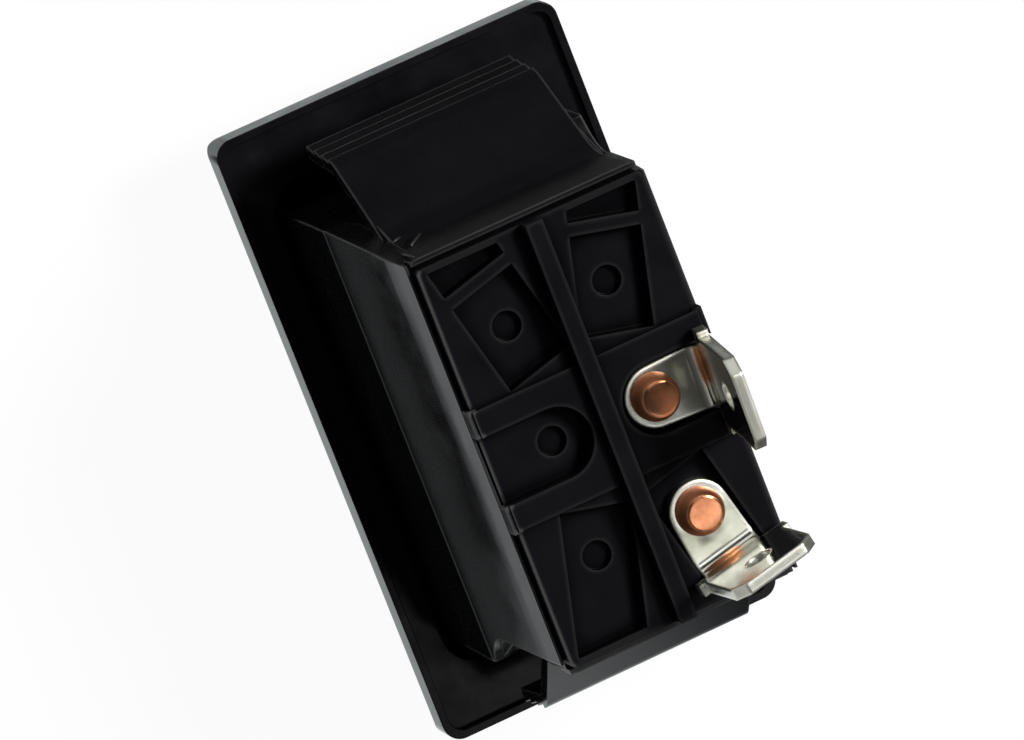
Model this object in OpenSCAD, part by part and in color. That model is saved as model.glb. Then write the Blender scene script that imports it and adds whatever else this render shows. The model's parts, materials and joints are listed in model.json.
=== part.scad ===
// Snap-in panel rocker switch with two blade terminals, drawn in its off position.
// Millimetres. +Z points out of the back, along the tabs. The panel's front meets the plane z = 0,
// and the origin is the middle of the flange's rear rim.

/* [Flange] */
// Overall width of the flange
flange_w = 25.4; // [24.8:0.1:28]
// Overall length of the flange
flange_l = 44.4; // [43.8:0.1:47]
// Height of the flange's side
flange_h = 2.9; // [2.6:0.1:3.4]
// Width of the raised rim round the rear face
rim_w = 0.55; // [0.4:0.05:0.8]
// Depth of the rear face inside the rim
recess_d = 0.55; // [0.35:0.05:1]

/* [Housing] */
// Width of the housing below its step line
body_w = 19.2; // [19:0.1:20]
// Length of the housing below its step line
body_l = 31.6; // [31.4:0.1:32.4]
// Height of the housing's back edge above the rim
body_h = 22.6; // [22.2:0.1:23.4]
// Height of the step line on the side walls
step_z = 8.3; // [7.5:0.1:9]
// Angle of the snap legs
leg_angle = 38; // [34:1:40]
// Thickness of the snap legs
leg_t = 1; // [0.8:0.05:1.1]
// Height of the snap legs' tips above the rim
tip_z = 4; // [3.4:0.1:4.6]
// Number of ridges on each leg
ridges = 3; // [2:1:4]

/* [Terminals] */
// Width of a blade tab
tab_w = 6.35; // [4.8:0.05:6.4]
// Length of a blade tab beyond its shoulders
tab_l = 7.4; // [6.4:0.1:8.2]
// Thickness of the terminal sheet
tab_t = 0.8; // [0.6:0.05:0.8]
// Hole in a blade tab, diameter
tab_hole = 1.9; // [1.4:0.1:2.2]
// Spacing of the rivet positions across the base
pole_pitch = 7.32; // [7.2:0.02:7.6]
// Spacing of the rivet positions along the base
row_pitch = 8.26; // [8.1:0.02:8.4]
// Diameter of a rivet's outer head
rivet_d = 3.3; // [3:0.1:3.8]

/* [Rocker] */
// Tilt of the rocker each way from level
throw = 10; // [8:0.5:10]
// Height of the rocker's pivot above the rim
pivot_z = 3; // [2.6:0.1:3.4]
// Diameter of the plunger
plunger_d = 3; // [2.6:0.1:3.2]
// Turns of the plunger's spring
spring_turns = 9; // [6:1:10]

/* [Hidden] */
$fn = 64;

// Small overlap that joins solids of one piece
eps = 0.05;
// Length that reaches past everything
far = 60;

// Clearances
seam = 0.2;
seat = 0.02;
rivet_fit = 0.02;
rocker_gap = 0.3;
hinge_gap = 0.03;
slide_gap = 0.05;
slot_gap = 0.35;
contact_gap = 0.04;
tip_gap = 0.08;

// Flange and front frame
flange_r = 1.3;
edge_r = 0.9;
frame_h = 1.5;
frame_side = 1.9;
frame_end = 3.1;
frame_hw = body_w / 2 + frame_side;
frame_hl = body_l / 2 + frame_end;
frame_r = 3;
frame_edge = 0.7;
moat_side = 0.8;
moat_end = 2;
moat_hw = body_w / 2 + moat_side;
moat_hl = body_l / 2 + moat_end;
moat_r = 2.5;
moat_z = -flange_h - 0.1;
front_z = -flange_h - frame_h;

// Housing walls
wall_t = 1.5;
end_t = 1.1;
cavity_hw = body_w / 2 - wall_t;
cavity_hl = body_l / 2 - end_t;
step_in = 0.05;
draft = 3.4;
waist_h = 3.4;
top_in = 1;
waist_z = body_h - waist_h;
waist_x = body_w / 2 - step_in - (waist_z - step_z - step_in) * tan(draft);
arc_lean = atan((waist_x - body_w / 2 + top_in) / waist_h);
arc_r = waist_h / cos(arc_lean) / (2 * sin(arc_lean - draft));

// Levels of the base, from the housing's back edge
shoulder_z = body_h - 0.75;
inner_z = body_h - 1.9;
land_z = body_h + 0.85;
slot_z = land_z - 1.05;
mid_land = 0.35;
spine_h = 1.1;
spine_w = 1.25;
base_hw = body_w / 2 - 1.38;
base_hl = body_l / 2 - 1.53;
base_r = 0.4;
spigot_hw = cavity_hw - 0.7;
spigot_hl = base_hl - 0.95;

// End walls
end_in = base_hl - 1.7;
end_slant_h = 9.1;
end_slant_z = body_h - end_slant_h;
end_low_z = step_z - 1;
end_hw = cavity_hw + wall_t / 2;
lip_t = 0.38;
root_y = base_hl + seam + lip_t;
taper_in = 1.2;
notch_in = 2.1;
notch_up = 3.8;
notch_y = body_l / 2 - notch_in;
notch_z = step_z + notch_up;
notch_r = 3.9;

// Snap legs
root_drop = 5.2;
root_z = body_h - root_drop;
root_r = 4;
knee_r = 2.5;
bend_steps = 12;
tip_tilt = 5;
ridge_p = 1.55;
ridge_d = 0.25;
leg_root_hw = base_hw - 0.4;
leg_tip_hw = base_hw - 0.62;
knee_z = tip_z + ridges * ridge_p * cos(tip_tilt);
leg_drop = root_z - knee_z - root_r * sin(leg_angle) - knee_r * (sin(leg_angle) - sin(tip_tilt));
leg_run = leg_drop / cos(leg_angle);
leg_a = [root_y + root_r * (1 - cos(leg_angle)), root_z - root_r * sin(leg_angle)];
leg_b = leg_a + leg_run * [sin(leg_angle), -cos(leg_angle)];
knee_c = leg_b - knee_r * [cos(leg_angle), sin(leg_angle)];
leg_c = knee_c + knee_r * [cos(tip_tilt), sin(tip_tilt)];

// Slots in the base
slot_w = 4.9;
slot_back = 3.35;
slot_out = 3.4;
slot_rib = 0.9;
slot_turn = 14;
rim_in = 0.45;
blind_r = 1;
blind_d = 0.5;
row_edge = 4.3;
lug_y0 = 2.45;
lug_y1 = 4.4;
lug_out = 0.35;
lug_in = 0.3;
lug_z0 = body_h + 0.05;
lug_z1 = land_z + 0.25;

// Terminals and rivets
pole_x = pole_pitch / 2;
foot_w = slot_w - 2 * slot_gap;
bend_r = 0.8;
tab_reach = 4.4;
ear_w = tab_w + 0.85;
ear_h = 1.1;
ear_z = 0.05;
tab_cut = 0.9;
tab_hole_up = 3.4;
foot_taper = 3;
common_turn = -1;
common_lean = 4;
common_side = -0.2;
common_skew = -6;
throw_turn = -78.5;
throw_lean = 3.3;
throw_side = 0.45;
throw_skew = 1.5;
shank_r = 1;
head_h = 1.2;
head_in = 0.45;
head_top = rivet_d / 2 - head_in;
head_arc = (head_h * head_h + head_in * head_in) / (2 * head_in);
foot_top = slot_z + tab_t;
bend_x = tab_reach - bend_r - tab_t;
bend_z = foot_top + bend_r;
root_hw = foot_w / 2 + bend_x * tan(foot_taper);

// Contacts
blade_t = 0.6;
blade_w = 4;
blade_l = 10;
blade_bend = 5;
blade_ratio = 0.45;
blade_tilt = throw * blade_ratio;
blade_drop = 2.5;
blade_z = inner_z - blade_drop;
lug_r = 0.5;
lug_l = 0.9;
lug_root = 0.3;
ear_t = 0.7;
ear_gap = 0.25;
saddle_t = 0.8;
saddle_hl = 2.4;
saddle_ear_hl = 1.6;
saddle_ear_up = 0.6;
contact_r = 1.6;
contact_h = 1;
common_head_r = 1.7;
common_head_h = 0.5;
throw_head_r = 1.8;
throw_head_h = 0.7;
under_blade = blade_z + blade_t / 2 / cos(blade_bend)
            + row_pitch * (sin(blade_tilt) - tan(blade_bend) * cos(blade_tilt));
fixed_face = under_blade + contact_h + contact_gap;
fixed_top = inner_z - throw_head_h;
stop_r = 1.3;
barrier_t = 0.9;
barrier_h = 4;
barrier_hl = 11;

// Rocker, from its pivot
rocker_hw = cavity_hw - rocker_gap;
facet_z = front_z - 0.06 - pivot_z;
rocker_hl = cavity_hl - rocker_gap;
rocker_t = 1.3;
skirt_z = -0.8;
cheek_z = 2.4;
cheek_hl = 4;
trunnion_r = 1.5;
trunnion_l = 1;
socket_l = 1.15;
stem_r = 2.6;
stem_z = 11.3;
bore_z = -2;
bore_r = plunger_d / 2 + slide_gap;
rib_t = 1.2;
end_a = [rocker_hl * cos(throw) + facet_z * sin(throw), facet_z * cos(throw) - rocker_hl * sin(throw)];
end_b = [end_a[0] + (skirt_z - end_a[1]) * tan(throw), skirt_z];
facet_mid = facet_z / cos(throw);

// Plunger and spring, along the stem
plunger_tip = blade_z - blade_t / 2 / cos(blade_bend) - pivot_z - tip_gap;
plunger_back = 6;
wire_r = 0.2;
coil_r = plunger_d / 2 - wire_r - 0.15;
coil_sides = 8;
coil_steps = 20;

// Rounded rectangle with true arcs at its corners
module rounded(hw, hl, r) {
  square([2 * hw, 2 * (hl - r)], center = true);
  square([2 * (hw - r), 2 * hl], center = true);
  for (sx = [-1, 1], sy = [-1, 1])
    translate([sx * (hw - r), sy * (hl - r)])
      circle(r);
}

// Slab between two heights
module slab(z0, z1) {
  translate([0, 0, z0])
    linear_extrude(z1 - z0)
      children();
}

// Section drawn in Y and Z, run along X
module along_x(h) {
  rotate([90, 0, 90])
    linear_extrude(h, center = true)
      children();
}

// Section drawn in X and Z, run along Y
module along_y(h) {
  rotate([90, 0, 0])
    linear_extrude(h, center = true)
      children();
}

// Points along an arc, ends included
function arc(c, r, a0, a1) = [for (i = [0 : bend_steps])
  let (a = a0 + (a1 - a0) * i / bend_steps)
    c + r * [cos(a), sin(a)]];

// Point on the ridged end of a leg, from the knee's outer face
function on_tip(x, y) = leg_c + [x * cos(tip_tilt) - y * sin(tip_tilt), x * sin(tip_tilt) + y * cos(tip_tilt)];

// One snap leg's section, from the wall's lip to the tip, ridges with their shoulders towards the flange
module leg_section() {
  root_c = [root_y + root_r, root_z];
  outer = concat([[root_y, body_h]], arc(root_c, root_r, 180, 180 + leg_angle),
                 arc(knee_c, knee_r, leg_angle, tip_tilt));
  teeth = [for (i = [0 : ridges - 1], j = [0, 1]) on_tip((j - 1) * ridge_d, -(i + j) * ridge_p)];
  inner = concat([on_tip(-leg_t, -ridges * ridge_p)], arc(knee_c, knee_r - leg_t, tip_tilt, leg_angle),
                 arc(root_c, root_r + leg_t, 180 + leg_angle, 180));
  polygon(concat(outer, teeth, inner,
                 [[root_y - leg_t, shoulder_z - eps], [root_y - lip_t + eps, shoulder_z - eps],
                  [root_y - lip_t + eps, body_h]]));
}

module snap_leg() {
  intersection() {
    along_x(far)
      leg_section();
    along_y(far)
      polygon([[-leg_root_hw, body_h], [-leg_tip_hw, knee_z], [-leg_tip_hw, -far], [leg_tip_hw, -far],
               [leg_tip_hw, knee_z], [leg_root_hw, body_h]]);
  }
}

// End wall's section, with the ledge that the base sits on
module end_section() {
  polygon([[cavity_hl, front_z + eps], [body_l / 2, front_z + eps], [body_l / 2, step_z],
           [notch_y, end_slant_z], [notch_y, root_z], [root_y - eps, root_z], [root_y - eps, body_h],
           [base_hl + seam, body_h], [base_hl + seam, shoulder_z], [spigot_hl + seat, shoulder_z],
           [spigot_hl + seat, inner_z - seat], [end_in, inner_z - seat], [end_in, end_slant_z],
           [cavity_hl, end_low_z]]);
}

// End wall, narrower above the leg's root so that the corners show the side walls' ends
module end_wall() {
  intersection() {
    along_x(far)
      end_section();
    along_y(far)
      polygon([[-end_hw, -far], [-end_hw, root_z], [-base_hw, root_z], [-base_hw, far], [base_hw, far],
               [base_hw, root_z], [end_hw, root_z], [end_hw, -far]]);
  }
}

// Side wall's section, drawn on the +X side
module side_section() {
  intersection() {
    polygon([[cavity_hw, front_z + eps], [body_w / 2, front_z + eps], [body_w / 2, step_z],
             [body_w / 2 - step_in, step_z + step_in], [waist_x, waist_z], [waist_x, body_h],
             [base_hw + seam, body_h], [base_hw + seam, shoulder_z], [spigot_hw + seat, shoulder_z],
             [spigot_hw + seat, step_z + 2], [cavity_hw, step_z]]);
    union() {
      translate([waist_x - arc_r * cos(draft), waist_z - arc_r * sin(draft)])
        circle(arc_r);
      translate([0, front_z - eps])
        square([far, waist_z - front_z]);
    }
  }
}

// Side wall's outline from the side: one end tapers, the other is notched
module side_outline() {
  difference() {
    polygon([[-body_l / 2, front_z - 1], [-body_l / 2, step_z], [taper_in - body_l / 2, body_h + 1],
             [notch_y + 0.3, body_h + 1], [notch_y, notch_z], [body_l / 2, notch_z],
             [body_l / 2, front_z - 1]]);
    translate([notch_y + notch_r, notch_z])
      circle(notch_r);
  }
}

module side_wall() {
  intersection() {
    along_y(far)
      side_section();
    along_x(far)
      side_outline();
  }
}

// Section with its two front edges rounded
module front_round(half, z0, z1, r) {
  translate([-half, z0 + r])
    square([2 * half, z1 - z0 - r]);
  translate([r - half, z0])
    square([2 * (half - r), z1 - z0]);
  for (s = [-1, 1])
    translate([s * (half - r), z0 + r])
      circle(r);
}

// Plate with rounded corners and rounded front edges
module plate(hw, hl, z0, z1, corner, edge) {
  intersection() {
    slab(z0 - 1, z1 + 1)
      rounded(hw, hl, corner);
    along_y(far)
      front_round(hw, z0, z1, edge);
    along_x(far)
      front_round(hl, z0, z1, edge);
  }
}

module flange() {
  difference() {
    union() {
      plate(flange_w / 2, flange_l / 2, -flange_h, 0, flange_r, edge_r);
      plate(frame_hw, frame_hl, front_z, -flange_h + eps, frame_r, frame_edge);
    }
    slab(-recess_d, far)
      rounded(flange_w / 2 - rim_w, flange_l / 2 - rim_w, flange_r - rim_w / 2);
    slab(moat_z, far)
      rounded(moat_hw, moat_hl, moat_r);
    slab(-far, far)
      square([2 * cavity_hw, 2 * cavity_hl], center = true);
  }
}

module bezel_housing() {
  color([0.08, 0.08, 0.09])
    difference() {
      union() {
        flange();
        side_wall();
        rotate([0, 0, 180])
          side_wall();
        for (m = [0, 1])
          mirror([0, m, 0]) {
            end_wall();
            snap_leg();
          }
      }
      for (sx = [-1, 1])
        translate([sx * cavity_hw, 0, pivot_z])
          rotate([0, 90, 0])
            cylinder(r = trunnion_r + hinge_gap, h = 2 * socket_l, center = true);
    }
}

// A corner slot's plan, with the hole at the origin and the open end towards +Y
module corner_slot(y0, y1) {
  translate([-slot_w / 2, y0])
    square([slot_w, y1 - y0]);
}

// Places a corner's plan: sx and sy pick the corner
module at_corner(sx, sy) {
  translate([sx * pole_x, sy * row_pitch])
    mirror([sx < 0 ? 1 : 0, 0])
      mirror([0, sy < 0 ? 1 : 0])
        rotate(-slot_turn)
          children();
}

module slots() {
  for (sx = [-1, 1]) {
    at_corner(sx, 1)
      corner_slot(-slot_back, slot_out);
    intersection() {
      at_corner(sx, 1)
        corner_slot(slot_out + slot_rib, far / 4);
      rounded(base_hw - rim_in, base_hl - rim_in, base_r);
    }
    intersection() {
      at_corner(sx, -1)
        corner_slot(-slot_back, far / 4);
      rounded(base_hw - rim_in, base_hl - rim_in, base_r);
    }
    translate([sx * pole_x, 0]) {
      circle(slot_w / 2);
      translate([sx > 0 ? 0 : -far, -slot_w / 2])
        square([far, slot_w]);
    }
  }
}

module terminal_base() {
  color([0.07, 0.07, 0.08])
    difference() {
      union() {
        slab(shoulder_z, land_z)
          rounded(base_hw, base_hl, base_r);
        slab(inner_z, shoulder_z + eps)
          square([2 * spigot_hw, 2 * spigot_hl], center = true);
        slab(land_z - eps, land_z + mid_land)
          square([2 * base_hw, 2 * row_edge], center = true);
        slab(land_z - eps, land_z + spine_h)
          square([spine_w, 2 * base_hl], center = true);
        for (sx = [-1, 1], sy = [-1, 1])
          translate([sx * (base_hw + (lug_out - lug_in) / 2), sy * (lug_y0 + lug_y1) / 2,
                     (lug_z0 + lug_z1) / 2])
            cube([lug_out + lug_in, lug_y1 - lug_y0, lug_z1 - lug_z0], center = true);
        slab(inner_z - barrier_h, inner_z + eps)
          square([barrier_t, 2 * barrier_hl], center = true);
        translate([pole_x, row_pitch, 0])
          slab(under_blade + contact_gap, inner_z + eps)
            circle(stop_r);
      }
      slab(slot_z, land_z + mid_land + eps)
        slots();
      for (sx = [-1, 1], row = [-1, 0, 1])
        translate([sx * pole_x, row * row_pitch, 0])
          if (sx > 0 && row < 1)
            slab(inner_z - eps, slot_z + eps)
              circle(shank_r + rivet_fit);
          else
            slab(slot_z - blind_d, slot_z + eps)
              circle(blind_r);
    }
}

// Point of a tab's outline, moved sideways as a whole and more towards the tip
function shifted(p, side, skew) = [p[0] + side + (p[1] - ear_z) * tan(skew), p[1]];

// Tab's outline in Y and Z, from the bend up
module tab_outline(side, skew) {
  top = ear_z + tab_l;
  half = [[ear_w / 2, ear_z], [ear_w / 2, ear_z + ear_h], [tab_w / 2, ear_z + ear_h],
          [tab_w / 2, top - tab_cut], [tab_w / 2 - tab_cut, top]];
  last = len(half) - 1;
  translate([-root_hw, -eps])
    square([2 * root_hw, ear_z + 2 * eps]);
  difference() {
    polygon([for (i = [0 : 2 * last + 1])
      shifted(i > last ? [-half[2 * last + 1 - i][0], half[2 * last + 1 - i][1]] : half[i], side, skew)]);
    translate(shifted([0, top - tab_hole_up], side, skew))
      circle(d = tab_hole);
  }
}

// Foot along +X from the rivet, widening to its bend, and tab
module terminal(lean, side, skew) {
  slab(slot_z, foot_top)
    difference() {
      union() {
        circle(foot_w / 2);
        polygon([[0, -foot_w / 2], [bend_x, -root_hw], [bend_x + eps, -root_hw],
                 [bend_x + eps, root_hw], [bend_x, root_hw], [0, foot_w / 2]]);
      }
      circle(shank_r + rivet_fit);
    }
  translate([bend_x, 0, bend_z]) {
    rotate([90, 0, 0])
      rotate([0, 0, -90])
        rotate_extrude(angle = 90 + lean)
          translate([bend_r, -root_hw])
            square([tab_t, 2 * root_hw]);
    rotate([0, -lean, 0])
      translate([bend_r + tab_t / 2, 0, 0])
        along_x(tab_t)
          tab_outline(side, skew);
  }
}

module common_terminal() {
  color([0.78, 0.76, 0.7])
    translate([pole_x, 0, 0])
      rotate([0, 0, common_turn])
        terminal(common_lean, common_side, common_skew);
}

module throw_terminal() {
  color([0.78, 0.76, 0.7])
    translate([pole_x, -row_pitch, 0])
      rotate([0, 0, throw_turn])
        terminal(throw_lean, throw_side, throw_skew);
}

// Outer head of a rivet, drawn from its seat
module head_section() {
  intersection() {
    square([rivet_d / 2, head_h]);
    union() {
      translate([rivet_d / 2 - head_arc, 0])
        circle(head_arc);
      square([head_top, head_h]);
    }
  }
}

// Whole rivet: outer head on the foot, shank, inner head below z0
module rivet(z0, inner_r, inner_h) {
  rotate_extrude() {
    translate([0, foot_top])
      head_section();
    translate([0, z0 - inner_h])
      square([inner_r, inner_h]);
    translate([0, z0 - inner_h])
      square([shank_r, foot_top - z0 + inner_h + eps]);
  }
}

module common_rivet() {
  color([0.72, 0.42, 0.28])
    translate([pole_x, 0, 0])
      rivet(inner_z - saddle_t, common_head_r, common_head_h);
}

module throw_rivet() {
  color([0.72, 0.42, 0.28])
    translate([pole_x, -row_pitch, 0])
      rivet(inner_z, throw_head_r, throw_head_h);
}

module fixed_contact() {
  color([0.85, 0.85, 0.83])
    translate([pole_x, -row_pitch, 0])
      slab(fixed_face, fixed_top)
        circle(throw_head_r);
}

module contact_saddle() {
  color([0.8, 0.62, 0.3])
    translate([pole_x, 0, 0])
      difference() {
        union() {
          slab(inner_z - saddle_t, inner_z)
            square([blade_w + 2 * (ear_gap + ear_t), 2 * saddle_hl], center = true);
          for (sx = [-1, 1])
            translate([sx * (blade_w / 2 + ear_gap + ear_t / 2), 0,
                       (blade_z - saddle_ear_up + inner_z) / 2])
              cube([ear_t, 2 * saddle_ear_hl, inner_z - blade_z + saddle_ear_up], center = true);
        }
        slab(inner_z - saddle_t - eps, inner_z + eps)
          circle(shank_r + rivet_fit);
        translate([0, 0, blade_z]) {
          rotate([0, 90, 0])
            cylinder(r = lug_r + hinge_gap, h = far, center = true);
          translate([0, 0, -far / 2])
            cube([far, 2 * (lug_r + hinge_gap), far], center = true);
        }
      }
}

// Places what rocks on the saddle, tilted as it rests
module on_saddle() {
  translate([pole_x, 0, blade_z])
    rotate([blade_tilt, 0, 0])
      children();
}

module contact_blade() {
  half = blade_t / 2 / cos(blade_bend);
  rise = blade_l * tan(blade_bend);
  color([0.8, 0.55, 0.32])
    on_saddle() {
      along_x(blade_w)
        polygon([[-blade_l, -rise - half], [0, -half], [blade_l, -rise - half], [blade_l, half - rise],
                 [0, half], [-blade_l, half - rise]]);
      for (sx = [-1, 1])
        translate([sx * (blade_w + lug_l - lug_root) / 2, 0, 0])
          rotate([0, 90, 0])
            cylinder(r = lug_r, h = lug_l + lug_root, center = true);
    }
}

module moving_contact() {
  color([0.85, 0.85, 0.83])
    on_saddle()
      rotate([blade_bend, 0, 0])
        translate([0, -row_pitch, blade_t / 2])
          cylinder(r = contact_r, h = contact_h);
}

// Places what turns with the rocker, tilted as it rests
module on_pivot() {
  translate([0, 0, pivot_z])
    rotate([-throw, 0, 0])
      children();
}

// Rocker's outline in Y and Z; t thins it evenly for the hollow
module rocker_outline(t) {
  e = [end_a[0] - t, end_a[1] + t / cos(throw)];
  m = facet_mid + t / cos(throw);
  top = t > 0 ? far : skirt_z;
  b = [end_b[0] - t, skirt_z];
  polygon([[0, m], e, b, [b[0], top], [-b[0], top], [-b[0], b[1]], [-e[0], e[1]]]);
}

module rocker() {
  color([0.09, 0.09, 0.1])
    on_pivot()
      difference() {
        union() {
          difference() {
            union() {
              along_x(2 * rocker_hw)
                rocker_outline(0);
              translate([0, 0, (cheek_z + skirt_z - 1) / 2])
                cube([2 * rocker_hw, 2 * cheek_hl, cheek_z - skirt_z + 1], center = true);
            }
            along_x(2 * (rocker_hw - rocker_t))
              rocker_outline(rocker_t);
          }
          for (sx = [-1, 1])
            translate([sx * pole_x, 0, facet_mid + rocker_t / 2])
              cylinder(r = stem_r, h = stem_z - facet_mid - rocker_t / 2);
          translate([0, 0, (facet_mid + rocker_t / 2) / 2])
            cube([2 * (rocker_hw - eps), rib_t, -facet_mid - rocker_t / 2], center = true);
          for (sx = [-1, 1])
            translate([sx * (rocker_hw + (trunnion_l - rocker_t / 2) / 2), 0, 0])
              rotate([0, 90, 0])
                cylinder(r = trunnion_r, h = trunnion_l + rocker_t / 2, center = true);
        }
        for (sx = [-1, 1])
          translate([sx * pole_x, 0, bore_z])
            cylinder(r = bore_r, h = far);
      }
}

module plunger() {
  color([0.9, 0.9, 0.86])
    on_pivot()
      translate([pole_x, 0, 0])
        rotate_extrude()
          intersection() {
            translate([0, plunger_back])
              square([plunger_d / 2, plunger_tip - plunger_back]);
            union() {
              translate([0, plunger_tip - plunger_d / 2])
                circle(plunger_d / 2);
              square([plunger_d / 2, plunger_tip - plunger_d / 2]);
            }
          }
}

// Coil as a closed tube, steps round the helix and sides round the wire
module plunger_spring() {
  z0 = bore_z + wire_r;
  z1 = plunger_back - wire_r;
  count = spring_turns * coil_steps;
  points = [for (i = [0 : count], j = [0 : coil_sides - 1])
    let (a = 360 * i / coil_steps, b = 360 * j / coil_sides, r = coil_r + wire_r * cos(b))
      [r * cos(a), r * sin(a), z0 + (z1 - z0) * i / count + wire_r * sin(b)]];
  sides = [for (i = [0 : count - 1], j = [0 : coil_sides - 1])
    let (k = (j + 1) % coil_sides)
      [i * coil_sides + j, i * coil_sides + k, (i + 1) * coil_sides + k, (i + 1) * coil_sides + j]];
  start = [for (j = [0 : coil_sides - 1]) coil_sides - 1 - j];
  finish = [for (j = [0 : coil_sides - 1]) count * coil_sides + j];
  color([0.7, 0.7, 0.72])
    on_pivot()
      translate([pole_x, 0, 0])
        polyhedron(points, concat([start], sides, [finish]));
}

bezel_housing();
terminal_base();
rocker();
plunger();
plunger_spring();
contact_blade();
moving_contact();
contact_saddle();
fixed_contact();
common_rivet();
throw_rivet();
common_terminal();
throw_terminal();
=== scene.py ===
import json
import math

import bpy
from mathutils import Matrix, Vector

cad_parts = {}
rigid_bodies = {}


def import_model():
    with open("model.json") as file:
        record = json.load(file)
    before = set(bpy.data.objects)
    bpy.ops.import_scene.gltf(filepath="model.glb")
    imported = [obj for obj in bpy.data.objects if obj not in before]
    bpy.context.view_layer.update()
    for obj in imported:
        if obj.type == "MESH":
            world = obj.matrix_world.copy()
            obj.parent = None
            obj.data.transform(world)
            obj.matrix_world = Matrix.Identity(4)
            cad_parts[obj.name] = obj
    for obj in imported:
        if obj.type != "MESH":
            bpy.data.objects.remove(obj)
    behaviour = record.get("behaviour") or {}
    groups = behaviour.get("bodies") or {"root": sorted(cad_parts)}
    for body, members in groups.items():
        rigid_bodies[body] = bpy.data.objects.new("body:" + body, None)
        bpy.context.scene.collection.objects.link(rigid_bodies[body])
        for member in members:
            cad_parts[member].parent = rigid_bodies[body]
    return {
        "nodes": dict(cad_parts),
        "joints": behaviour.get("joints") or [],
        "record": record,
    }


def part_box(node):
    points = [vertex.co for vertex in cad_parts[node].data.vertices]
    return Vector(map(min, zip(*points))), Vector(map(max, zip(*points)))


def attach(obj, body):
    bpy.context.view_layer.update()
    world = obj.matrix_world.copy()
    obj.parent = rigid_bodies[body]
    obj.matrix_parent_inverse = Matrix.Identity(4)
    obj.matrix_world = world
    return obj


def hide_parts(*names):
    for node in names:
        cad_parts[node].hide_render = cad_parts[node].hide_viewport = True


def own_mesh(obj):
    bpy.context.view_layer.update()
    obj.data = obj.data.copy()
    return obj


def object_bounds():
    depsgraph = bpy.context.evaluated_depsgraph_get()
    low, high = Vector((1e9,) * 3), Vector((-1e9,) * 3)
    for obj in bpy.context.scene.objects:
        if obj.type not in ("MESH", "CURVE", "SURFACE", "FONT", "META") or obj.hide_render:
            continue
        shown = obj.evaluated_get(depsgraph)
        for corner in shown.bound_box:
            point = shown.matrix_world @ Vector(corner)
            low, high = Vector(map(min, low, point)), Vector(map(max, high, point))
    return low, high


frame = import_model()
cad_low, cad_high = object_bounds()
nodes = frame["nodes"]
scene = bpy.context.scene

MM = 0.001

# Places on the part, in metres: pairs are where a change starts and ends
housing_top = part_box("bezel_housing")[1].z
base_low, base_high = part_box("terminal_base")
body_half_w = 9.6 * MM
LEG_ROOT_Z = (housing_top - 6.1 * MM, housing_top - 1.1 * MM)
LEG_ROOT_Y = (base_high.y + 0.43 * MM, base_high.y + 0.63 * MM)
STEP_X = (body_half_w - 0.6 * MM, body_half_w - 0.2 * MM)
ABOVE_FLANGE_Z = (1.0 * MM, 3.0 * MM)
BASE_SIDE_X = (base_low.x + 0.77 * MM, base_low.x + 0.47 * MM)


# Nodes

def new_material(name):
    mat = bpy.data.materials.new(name)
    mat.use_nodes = True
    tree = mat.node_tree
    tree.nodes.clear()
    out = tree.nodes.new("ShaderNodeOutputMaterial")
    bsdf = tree.nodes.new("ShaderNodeBsdfPrincipled")
    tree.links.new(bsdf.outputs["BSDF"], out.inputs["Surface"])
    return mat, tree, bsdf


def add(tree, kind, **values):
    """New node, with values for its inputs or else its properties."""
    node = tree.nodes.new(kind)
    for key, value in values.items():
        if key in node.inputs:
            node.inputs[key].default_value = value
        else:
            setattr(node, key, value)
    return node


def ramp(tree, source, stops):
    node = tree.nodes.new("ShaderNodeValToRGB")
    elements = node.color_ramp.elements
    for element, (position, color) in zip(elements, (stops[0], stops[-1])):
        element.position, element.color = position, color
    for position, color in stops[1:-1]:
        elements.new(position).color = color
    tree.links.new(source, node.inputs["Fac"])
    return node.outputs["Color"]


def axes(tree, vector):
    """The vector's three numbers."""
    split = add(tree, "ShaderNodeSeparateXYZ")
    tree.links.new(vector, split.inputs["Vector"])
    return [split.outputs[axis] for axis in "XYZ"]


def noise(tree, vector, scale, detail, rough):
    tex = add(tree, "ShaderNodeTexNoise", Scale=scale, Detail=detail, Roughness=rough)
    tree.links.new(vector, tex.inputs["Vector"])
    return tex.outputs["Fac"]


def grey(v):
    return (v, v, v, 1.0)


def fade(tree, source, low, high):
    """Rises smoothly from 0 at low to 1 at high."""
    node = add(tree, "ShaderNodeMapRange", interpolation_type="SMOOTHSTEP")
    node.inputs["From Min"].default_value = low
    node.inputs["From Max"].default_value = high
    tree.links.new(source, node.inputs["Value"])
    return node.outputs["Result"]


def maths(tree, operation, *values):
    """Maths node whose inputs are sockets or plain numbers."""
    node = add(tree, "ShaderNodeMath", operation=operation)
    for slot, value in zip(node.inputs, values):
        if isinstance(value, (int, float)):
            slot.default_value = value
        else:
            tree.links.new(value, slot)
    return node.outputs["Value"]


def product(tree, first, *others):
    for other in others:
        first = maths(tree, "MULTIPLY", first, other)
    return first


def most(tree, first, *others):
    for other in others:
        first = maths(tree, "MAXIMUM", first, other)
    return first


def between(tree, share, low, high):
    """From low at share 0 to high at share 1."""
    return maths(tree, "MULTIPLY_ADD", share, high - low, low)


def mixed(tree, share, color, other):
    """The colour, with a plain other one laid over it by share."""
    node = add(tree, "ShaderNodeMix", data_type="RGBA")
    node.inputs["B"].default_value = other
    tree.links.new(share, node.inputs["Factor"])
    tree.links.new(color, node.inputs["A"])
    return node.outputs["Result"]


def dimmed(tree, color, level):
    """The colour times a level."""
    node = add(tree, "ShaderNodeMix", data_type="RGBA", blend_type="MULTIPLY")
    node.inputs["Factor"].default_value = 1.0
    tree.links.new(color, node.inputs["A"])
    tree.links.new(level, node.inputs["B"])
    return node.outputs["Result"]


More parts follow.
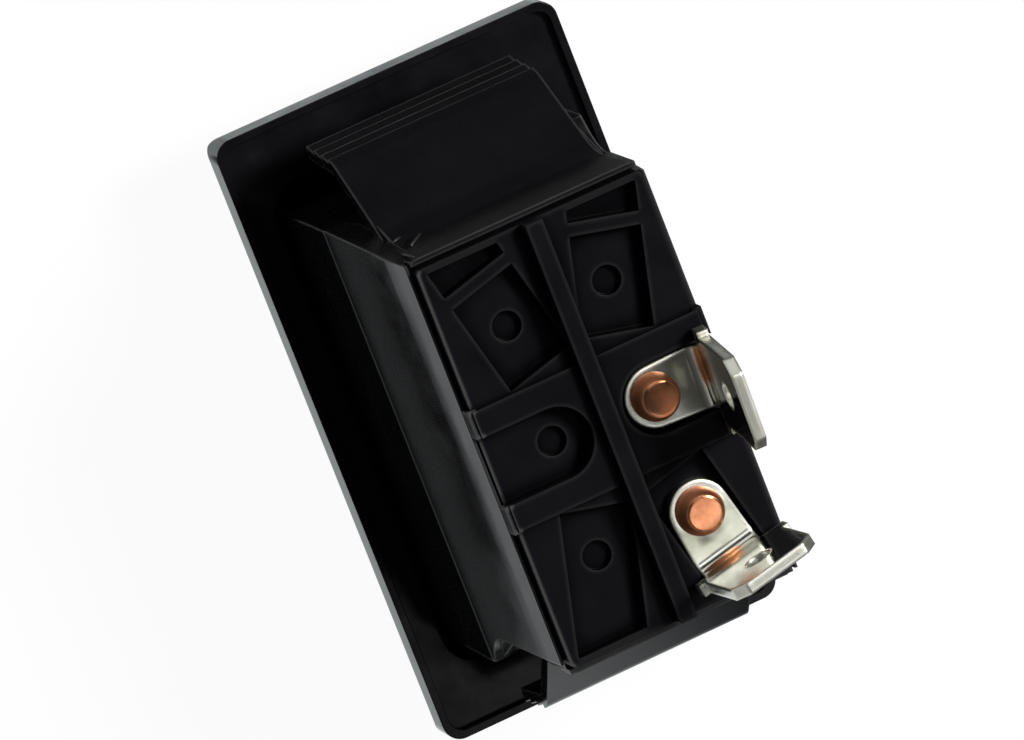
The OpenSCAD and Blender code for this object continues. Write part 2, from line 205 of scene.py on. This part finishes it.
def occlusion(tree, samples, reach, inside):
    """1 in the open, less within reach of a corner, or inside the solid, of an edge."""
    node = add(tree, "ShaderNodeAmbientOcclusion", samples=samples, inside=inside,
               only_local=True, Distance=reach)
    return node.outputs["AO"]


def rounded(tree, samples, radius):
    """Normal that rounds the edges."""
    return add(tree, "ShaderNodeBevel", samples=samples, Radius=radius).outputs["Normal"]


def bumped(tree, height, normal, strength, distance):
    node = add(tree, "ShaderNodeBump", Strength=strength, Distance=distance)
    tree.links.new(height, node.inputs["Height"])
    tree.links.new(normal, node.inputs["Normal"])
    return node.outputs["Normal"]


# Nylon: lengths in metres, a noise's scale per metre, its detail and roughness
TONE_NOISE, TONE_STOPS = (260.0, 5.0, 0.55), (0.35, 0.7)
SHEEN_NOISE, SHEEN_STOPS, SHEEN_SPREAD = (420.0, 6.0, 0.65), (0.3, 0.75), (-0.06, 0.1)
GRAIN_NOISE, GRAIN_DEPTH = (3600.0, 3.0, 0.6), 0.04 * MM
# Occlusion for the painted edge highlight, then for the painted shade in corners
EDGE_SAMPLES, EDGE_SPAN = 8, (0.92, 0.62)
CORNER_SAMPLES, CORNER_SPAN, CORNER_REACH = 8, (0.6, 0.95), 1.4 * MM
ROUND_SAMPLES, ROUND_RADIUS = 6, 0.12 * MM
WALL_FACING = (0.5, 0.8)
MATT_ROUGH = 0.35
# Shares of the painted highlight: on the housing's inner edges, the band at each leg root, and the
# base's middle edges
INNER_EDGE_HIGHLIGHT, LEG_ROOT_HIGHLIGHT, BASE_MIDDLE_HIGHLIGHT = 0.45, 0.24, 0.15


def nylon(name, dark, light, rough, spec, grain=0.0, edge_highlight=0.016, highlight_where=None, reach=0.24 * MM,
          sleek=1.0, dull=None, corner_shade=1.0):
    """Moulding with a painted highlight on edges over a reach, and painted shade in corners,
    darkened down to the given corner shade level.

    The roughness of +-X walls is multiplied by sleek. A function of (tree, share, x, y, z) sets
    how much of the painted edge highlight shows at a place, and dull(tree, y, z) where the
    moulding is matt.
    """
    mat, tree, bsdf = new_material(name)
    coords = add(tree, "ShaderNodeTexCoord")
    spot = coords.outputs["Object"]
    x, y, z = axes(tree, spot)

    tone = noise(tree, spot, *TONE_NOISE)
    color = ramp(tree, tone, list(zip(TONE_STOPS, (dark, light))))
    # Painted highlight: edges made lighter in the base colour, standing in for edges catching the
    # light
    share = fade(tree, occlusion(tree, EDGE_SAMPLES, reach, True), *EDGE_SPAN)
    if highlight_where:
        share = highlight_where(tree, share, x, y, z)
    color = mixed(tree, share, color, grey(edge_highlight))
    # Painted shade: corners, pockets and bores darkened in the base colour by occlusion
    if corner_shade < 1.0:
        corner = occlusion(tree, CORNER_SAMPLES, CORNER_REACH, False)
        corner_shade_level = between(tree, fade(tree, corner, *CORNER_SPAN), corner_shade, 1.0)
        color = dimmed(tree, color, corner_shade_level)
    tree.links.new(color, bsdf.inputs["Base Color"])

    sheen = noise(tree, spot, *SHEEN_NOISE)
    levels = [grey(rough + spread) for spread in SHEEN_SPREAD]
    gloss = ramp(tree, sheen, list(zip(SHEEN_STOPS, levels)))
    facing = axes(tree, coords.outputs["Normal"])[0]
    wall = fade(tree, maths(tree, "ABSOLUTE", facing), *WALL_FACING)
    finish = product(tree, gloss, between(tree, wall, 1.0, sleek))
    if dull:
        finish = maths(tree, "MULTIPLY_ADD", dull(tree, y, z), MATT_ROUGH, finish)
    tree.links.new(finish, bsdf.inputs["Roughness"])

    normal = rounded(tree, ROUND_SAMPLES, ROUND_RADIUS)
    if grain > 0.0:
        normal = bumped(tree, noise(tree, spot, *GRAIN_NOISE), normal, grain, GRAIN_DEPTH)
    tree.links.new(normal, bsdf.inputs["Normal"])
    bsdf.inputs["Specular IOR Level"].default_value = spec
    return mat


def leg_root(tree, y, z):
    """1 where a leg leaves its end wall."""
    outside = fade(tree, maths(tree, "ABSOLUTE", y), *LEG_ROOT_Y)
    return product(tree, fade(tree, z, *LEG_ROOT_Z), outside)


def housing_painted_highlight(tree, share, x, y, z):
    """Painted highlights: light edges above the flange, and a lighter band painted at the root of
    each leg where the bend would catch the light.
    """
    outer = fade(tree, maths(tree, "ABSOLUTE", x), *STEP_X)
    edges = product(tree, share, between(tree, outer, INNER_EDGE_HIGHLIGHT, 1.0),
                    fade(tree, z, *ABOVE_FLANGE_Z))
    # Painted highlight band at the root of each leg
    return most(tree, edges, product(tree, leg_root(tree, y, z), LEG_ROOT_HIGHLIGHT))


def base_painted_highlight(tree, share, x, y, z):
    """Painted highlight on edges, mostly along the left side."""
    side = fade(tree, x, *BASE_SIDE_X)
    return product(tree, share, between(tree, side, BASE_MIDDLE_HIGHLIGHT, 1.0))


# Metal: lengths in metres, a noise's scale per metre, its detail and roughness
CLOUD_NOISE, CLOUD_STOPS, CLOUD_SPREAD = (500.0, 5.0, 0.6), (0.3, 0.7), (0.06, -0.03)
SCRATCH_NOISE, SCRATCH_DEPTH = (2400.0, 3.0, 0.6), 0.04 * MM
BUCKLE_NOISE, BUCKLE_STRENGTH = (170.0, 1.0, 0.4), 1.0
CUT_SAMPLES, CUT_SPAN, CUT_REACH = 16, (0.71, 0.62), 0.75 * MM
UPRIGHT_FACING = (0.8, 0.4)
METAL_ROUND_SAMPLES = 8


def metal(name, dark, light, rough, grain, wave, edge, stretch=(1.0, 1.0, 1.0), cut=None,
          sides=None):
    """Sheet or wire with a buckled surface and edges rounded to a radius.

    cut is the roughness of a sheet's cut faces, sides that of upright ones.
    """
    mat, tree, bsdf = new_material(name)
    coords = add(tree, "ShaderNodeTexCoord")
    mapping = add(tree, "ShaderNodeMapping", Scale=stretch)
    tree.links.new(coords.outputs["Object"], mapping.inputs["Vector"])
    rolled = mapping.outputs["Vector"]

    cloud = noise(tree, rolled, *CLOUD_NOISE)
    tone = ramp(tree, cloud, list(zip(CLOUD_STOPS, (dark, light))))
    tree.links.new(tone, bsdf.inputs["Base Color"])

    levels = [grey(rough + spread) for spread in CLOUD_SPREAD]
    finish = ramp(tree, cloud, list(zip(CLOUD_STOPS, levels)))
    if cut:
        rim = fade(tree, occlusion(tree, CUT_SAMPLES, CUT_REACH, True), *CUT_SPAN)
        finish = mixed(tree, rim, finish, grey(cut))
    if sides:
        facing = axes(tree, coords.outputs["Normal"])[2]
        upright = fade(tree, maths(tree, "ABSOLUTE", facing), *UPRIGHT_FACING)
        finish = most(tree, product(tree, upright, sides), finish)
    tree.links.new(finish, bsdf.inputs["Roughness"])

    swell = noise(tree, coords.outputs["Object"], *BUCKLE_NOISE)
    scratches = noise(tree, rolled, *SCRATCH_NOISE)
    normal = rounded(tree, METAL_ROUND_SAMPLES, edge)
    normal = bumped(tree, swell, normal, BUCKLE_STRENGTH, wave)
    normal = bumped(tree, scratches, normal, grain, SCRATCH_DEPTH)
    tree.links.new(normal, bsdf.inputs["Normal"])
    bsdf.inputs["Metallic"].default_value = 1.0
    return mat


NYLONS = {
    # Housing: painted highlight on edges and a painted highlight band at the leg roots
    "housing_nylon": dict(
        dark=(0.0038, 0.0038, 0.0048, 1), light=(0.0056, 0.0056, 0.007, 1), rough=0.2, spec=0.14,
        edge_highlight=0.06, highlight_where=housing_painted_highlight, sleek=0.55, dull=leg_root),
    # Base: painted highlight on edges and painted shade in corners
    "base_nylon": dict(
        dark=(0.004, 0.004, 0.0054, 1), light=(0.006, 0.006, 0.0078, 1), rough=0.3, spec=0.03,
        grain=0.2, edge_highlight=0.06, highlight_where=base_painted_highlight, reach=0.4 * MM, corner_shade=0.3),
    "rocker_nylon": dict(
        dark=(0.006, 0.006, 0.007, 1), light=(0.009, 0.009, 0.010, 1), rough=0.26, spec=0.35,
        grain=0.08),
    "plunger_nylon": dict(
        dark=(0.72, 0.7, 0.63, 1), light=(0.8, 0.79, 0.72, 1), rough=0.4, spec=0.4,
        grain=0.1, edge_highlight=0.8),
    "torn_nylon": dict(
        dark=(0.014, 0.014, 0.015, 1), light=(0.022, 0.022, 0.023, 1), rough=0.35, spec=0.3,
        grain=0.1, edge_highlight=0.024),
}
METALS = {
    "spring_steel": dict(
        dark=(0.5, 0.5, 0.51, 1), light=(0.62, 0.62, 0.63, 1), rough=0.3, grain=0.1,
        wave=0.02 * MM, edge=0.05 * MM),
    "blade_copper": dict(
        dark=(0.7, 0.4, 0.24, 1), light=(0.82, 0.52, 0.34, 1), rough=0.3, grain=0.15,
        wave=0.06 * MM, edge=0.1 * MM, stretch=(1, 6, 1)),
    "contact_silver": dict(
        dark=(0.74, 0.74, 0.72, 1), light=(0.86, 0.86, 0.84, 1), rough=0.3, grain=0.15,
        wave=0.06 * MM, edge=0.1 * MM),
    "saddle_brass": dict(
        dark=(0.68, 0.5, 0.22, 1), light=(0.8, 0.62, 0.32, 1), rough=0.3, grain=0.15,
        wave=0.06 * MM, edge=0.1 * MM),
    "rivet_copper": dict(
        dark=(0.68, 0.24, 0.11, 1), light=(0.87, 0.39, 0.21, 1), rough=0.1, grain=0.03,
        wave=0.08 * MM, edge=0.3 * MM, sides=0.55),
    "terminal_tin": dict(
        dark=(0.7, 0.69, 0.59, 1), light=(0.87, 0.87, 0.8, 1), rough=0.14, grain=0.03,
        wave=0.12 * MM, edge=0.3 * MM, cut=0.38),
}
looks = {name: nylon(name, **how) for name, how in NYLONS.items()}
looks.update({name: metal(name, **how) for name, how in METALS.items()})
for part in frame["record"]["subparts"]:
    materials = nodes[part["node"]].data.materials
    materials.clear()
    materials.append(looks[part["material_slot"]])


# Torn moulding flash at the root of the upper leg

# Strands in mm from the base's corner at the housing's top: points and a radius
FLASH_CORNER = Vector((base_low.x, base_high.y, housing_top))
FLASH = [
    ([(1.11, 1.79, -7.97), (1.19, 1.27, -7.26), (1.19, 0.78, -6.08), (1.01, 0.68, -4.72)], 0.12),
    ([(1.19, 0.78, -6.08), (1.55, 0.82, -6.23), (1.9, 0.85, -6.35)], 0.1),
    ([(0.82, 0.68, -3.8), (0.77, 0.68, -1.84), (0.85, 0.68, -0.2)], 0.2),
    ([(1.71, 0.68, -3.5), (2.47, 0.68, -4.72), (3.12, 0.7, -5.59)], 0.11),
]
FLASH_SIDES = 6
FLASH_TIP, FLASH_FLAT = 0.3, 0.55
FLASH_ASIDE = Vector((0.3, 0.5, 0.8))


def shred(points, radius, first):
    """Thin flattened strand that tapers to both ends: its vertices, and faces from index first."""
    spots = [FLASH_CORNER + Vector(p) * MM for p in points]
    last, sides = len(spots) - 1, FLASH_SIDES
    verts, faces = [], []
    for i, spot in enumerate(spots):
        along = (spots[min(i + 1, last)] - spots[max(i - 1, 0)]).normalized()
        across = along.cross(FLASH_ASIDE).normalized()
        other = along.cross(across) * FLASH_FLAT
        bulge = math.sin(math.pi * (i + 0.5) / len(spots))
        thick = radius * MM * (FLASH_TIP + (1.0 - FLASH_TIP) * bulge)
        for k in range(sides):
            a = 2 * math.pi * k / sides
            verts.append(spot + (across * math.cos(a) + other * math.sin(a)) * thick)
    for low in range(first, first + last * sides, sides):
        for k in range(sides):
            n = (k + 1) % sides
            faces.append((low + k, low + n, low + sides + n, low + sides + k))
    end = first + last * sides
    faces.append(tuple(reversed(range(first, first + sides))))
    faces.append(tuple(range(end, end + sides)))
    return verts, faces


def whiskers(name, strands, body, mat):
    verts, faces = [], []
    for points, radius in strands:
        v, f = shred(points, radius, len(verts))
        verts += v
        faces += f
    mesh = bpy.data.meshes.new(name)
    mesh.from_pydata(verts, [], faces)
    mesh.materials.append(mat)
    mesh.shade_smooth()
    obj = bpy.data.objects.new(name, mesh)
    scene.collection.objects.link(obj)
    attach(obj, body)


whiskers("torn_flash", FLASH, "housing", looks["torn_nylon"])


# Spring coil shortened a little along the slide, in place of the CAD coil

def plunger_coil(joint, clear):
    """Coil seated on the stem's end, shortened by clear along the joint's axis."""
    slide = next(j for j in frame["joints"] if j["name"] == joint)
    axis = Vector(slide["axis"]).normalized()
    mesh = nodes["plunger_spring"].data.copy()
    along = [v.co.dot(axis) for v in mesh.vertices]
    seat, length = max(along), max(along) - min(along)
    for v, place in zip(mesh.vertices, along):
        v.co += axis * (clear * (seat - place) / length)
    mesh.shade_smooth()
    obj = bpy.data.objects.new("plunger_coil", mesh)
    scene.collection.objects.link(obj)
    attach(obj, slide["parent"])
    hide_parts("plunger_spring")
    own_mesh(obj)


plunger_coil("plunger_slide", 0.01 * MM)


# Stage: a pale floor that is white to the camera and keeps a faint shadow

FLOOR_HALF, FLOOR_DROP = 1.5, 0.2 * MM
FLOOR_COLOR, FLOOR_ROUGH, FLOOR_SEEN = 0.95, 0.8, 0.95

# What polished surfaces see of the floor is painted light and shadow, in mm from the part's
# middle: where a painted lit patch starts and is full, and how bright it is. Left distances are to
# -X.
RAGGED_NOISE, RAGGED_WIDTH = (190.0, 3.0, 0.55), 1.4
BAND, BAND_LIT = (20.0, 21.2), 0.84
LOW_LEFT, LOW_LEFT_Y, LOW_LEFT_LIT = (18.2, 19.4), (-13.0, -18.0), 0.4
HIGH_LEFT, HIGH_LEFT_Y, HIGH_LEFT_LIT = (18.8, 20.0), (2.0, 6.0), 0.55
CLOSE_OUT, CLOSE_IN, CLOSE_LIT = (18.0, 17.2), (10.0, 12.0), 0.06
STRIP_LEFT, STRIP_FAR, STRIP_SOFT = (12.0, 14.7), (22.0, 24.7), 0.5
NEAR_Y, NEAR_X = (-19.0, -28.0), (20.0, 0.0)
LENS_IN, LENS_OUT, LENS_Y, LENS_DARK = (17.5, 18.0), (19.7, 19.0), (-15.0, -12.0), 0.85
# Painted reflection levels: dim where the floor would lie in shadow, and lit
FLOOR_DIM, FLOOR_LIT = 0.05, 0.97
FLOOR_TINT = (0.94, 0.99, 1, 1)


def painted_floor_light(tree):
    """Painted light and shadow of the floor as reflections see it: lit at the near and left ends
    of the view, dim elsewhere.
    """
    spot = add(tree, "ShaderNodeTexCoord").outputs["Object"]
    x, y, _ = axes(tree, spot)
    left = maths(tree, "MULTIPLY", x, -1.0)
    middle = maths(tree, "SUBTRACT", left, RAGGED_WIDTH / 2 * MM)
    ragged = maths(tree, "MULTIPLY_ADD", noise(tree, spot, *RAGGED_NOISE),
                   RAGGED_WIDTH * MM, middle)

    def rise(source, span):
        return fade(tree, source, span[0] * MM, span[1] * MM)

    def strip(source, span):
        start, end = span
        return product(tree, rise(source, (start - STRIP_SOFT, start)),
                       rise(source, (end + STRIP_SOFT, end)))

    patches = [
        product(tree, rise(ragged, BAND), BAND_LIT),
        product(tree, rise(ragged, LOW_LEFT), rise(y, LOW_LEFT_Y), LOW_LEFT_LIT),
        product(tree, rise(ragged, HIGH_LEFT), rise(y, HIGH_LEFT_Y), HIGH_LEFT_LIT),
        product(tree, rise(ragged, CLOSE_OUT), rise(left, CLOSE_IN), CLOSE_LIT),
        strip(left, STRIP_LEFT),
        strip(y, STRIP_FAR),
        product(tree, rise(y, NEAR_Y), rise(x, NEAR_X)),
    ]
    # Painted shadow: a dark lens-shaped patch in the floor's reflection
    lens = product(tree, rise(y, LENS_Y), rise(ragged, LENS_IN), rise(ragged, LENS_OUT))
    lit = between(tree, most(tree, *patches), FLOOR_DIM, FLOOR_LIT)
    return product(tree, lit, between(tree, lens, 1.0, 1.0 - LENS_DARK))


def over(tree, share, shader, other):
    """The other shader laid over the first by share."""
    node = add(tree, "ShaderNodeMixShader")
    for slot, source in zip(node.inputs, (share, shader, other)):
        tree.links.new(source, slot)
    return node.outputs["Shader"]


def shown_white(tree, surface, seen):
    """White for the camera, and painted with patches of light and shadow for reflections."""
    path = add(tree, "ShaderNodeLightPath")
    plain = add(tree, "ShaderNodeEmission", Color=grey(1.0))
    mirrored = add(tree, "ShaderNodeEmission", Color=FLOOR_TINT)
    tree.links.new(painted_floor_light(tree), mirrored.inputs["Strength"])
    for_camera = over(tree, product(tree, path.outputs["Is Camera Ray"], seen), surface,
                      plain.outputs["Emission"])
    for_gloss = over(tree, path.outputs["Is Glossy Ray"], for_camera,
                     mirrored.outputs["Emission"])
    tree.links.new(for_gloss, tree.nodes["Material Output"].inputs["Surface"])


level = cad_low.z - FLOOR_DROP
corners = [(sx * FLOOR_HALF, sy * FLOOR_HALF, level)
           for sx, sy in ((-1, -1), (1, -1), (1, 1), (-1, 1))]
floor_mesh = bpy.data.meshes.new("floor")
floor_mesh.from_pydata(corners, [], [(0, 1, 2, 3)])
floor = bpy.data.objects.new("floor", floor_mesh)
scene.collection.objects.link(floor)
pale, pale_tree, pale_bsdf = new_material("floor_white")
pale_bsdf.inputs["Base Color"].default_value = grey(FLOOR_COLOR)
pale_bsdf.inputs["Roughness"].default_value = FLOOR_ROUGH
shown_white(pale_tree, pale_bsdf.outputs["BSDF"], FLOOR_SEEN)
floor_mesh.materials.append(pale)


# World: a dome brightest at the horizon and on one side, with a window in the far sky

DOME = [(0.0, grey(1.0)), (0.3, grey(0.55)), (0.65, grey(0.16)), (1.0, grey(0.09))]
BRIGHT_X, BRIGHT_Y, BRIGHT_SPAN = -0.6, -0.8, (-0.5, 0.8)
SKY_LEVELS = (0.17, 0.62)
WINDOW_Y, WINDOW_LOW, WINDOW_HIGH, WINDOW_LIT = (0.7, 0.85), (0.1, 0.18), (0.55, 0.45), 0.85

world = bpy.data.worlds.new("surroundings")
scene.world = world
world.use_nodes = True
sky = world.node_tree
sky.nodes.clear()
sky_out = sky.nodes.new("ShaderNodeOutputWorld")
east, north, height = axes(sky, add(sky, "ShaderNodeTexCoord").outputs["Generated"])
toward = maths(sky, "MULTIPLY_ADD", east, BRIGHT_X, maths(sky, "MULTIPLY", north, BRIGHT_Y))
shade = between(sky, fade(sky, toward, *BRIGHT_SPAN), *SKY_LEVELS)
window = product(sky, fade(sky, north, *WINDOW_Y), fade(sky, height, *WINDOW_LOW),
                 fade(sky, height, *WINDOW_HIGH))
lit_sky = mixed(sky, window, dimmed(sky, ramp(sky, height, DOME), shade), grey(WINDOW_LIT))
fill = add(sky, "ShaderNodeBackground", Strength=1.0)
sky.links.new(lit_sky, fill.inputs["Color"])
white = add(sky, "ShaderNodeBackground", Color=grey(1.0), Strength=1.0)
seen_by = add(sky, "ShaderNodeLightPath")
backdrop = over(sky, seen_by.outputs["Is Camera Ray"], fill.outputs["Background"],
                white.outputs["Background"])
sky.links.new(backdrop, sky_out.inputs["Surface"])


# Lamps, in metres and watts: a soft key from the right, and two cards for the metal to mirror

KEY_AIM = (0, 0, 0.01)
KEY_COLOR, CARD_COLOR = (1.0, 0.98, 0.95), (0.97, 0.99, 1.0)
LAMPS = [
    ("key", (0.311, 0.113, 0.45), (0.14, 0.14), 3.6, KEY_COLOR, KEY_AIM),
    ("near_card", (0.0475, -0.076, 0.173), (0.055, 0.06), 0.0155, CARD_COLOR, None),
    ("far_card", (0.03, 0.05, 0.173), (0.06, 0.06), 0.014, CARD_COLOR, None),
]

for name, place, size, watts, color, aim in LAMPS:
    lamp = bpy.data.lights.new(name, "AREA")
    lamp.shape = "RECTANGLE"
    lamp.size, lamp.size_y = size
    lamp.energy = watts
    lamp.color = color
    obj = bpy.data.objects.new(name, lamp)
    obj.location = place
    if aim:
        obj.rotation_mode = "QUATERNION"
        obj.rotation_quaternion = (Vector(aim) - Vector(place)).to_track_quat("-Z", "Y")
    scene.collection.objects.link(obj)


# Camera at the photo's view

VIEW_RIGHT = Vector((0.88618, -0.35563, 0.29699))
VIEW_BACK = Vector((-0.221, 0.23893, 0.94555))
VIEW_PLACE = (-0.13608, 0.14779, 0.58577)
LENS, SENSOR = 323.53, 36.0
CLIP = (0.01, 10.0)

back = VIEW_BACK.normalized()
up = back.cross(VIEW_RIGHT).normalized()
right = up.cross(back).normalized()
camera_data = bpy.data.cameras.new("camera")
camera_data.lens = LENS
camera_data.sensor_width = SENSOR
camera_data.sensor_fit = "HORIZONTAL"
camera_data.clip_start, camera_data.clip_end = CLIP
camera_data.dof.use_dof = False
camera = bpy.data.objects.new("camera", camera_data)
scene.collection.objects.link(camera)
turn = Matrix((right, up, back)).transposed().to_4x4()
camera.matrix_world = Matrix.Translation(VIEW_PLACE) @ turn
scene.camera = camera

scene.view_settings.view_transform = "Standard"
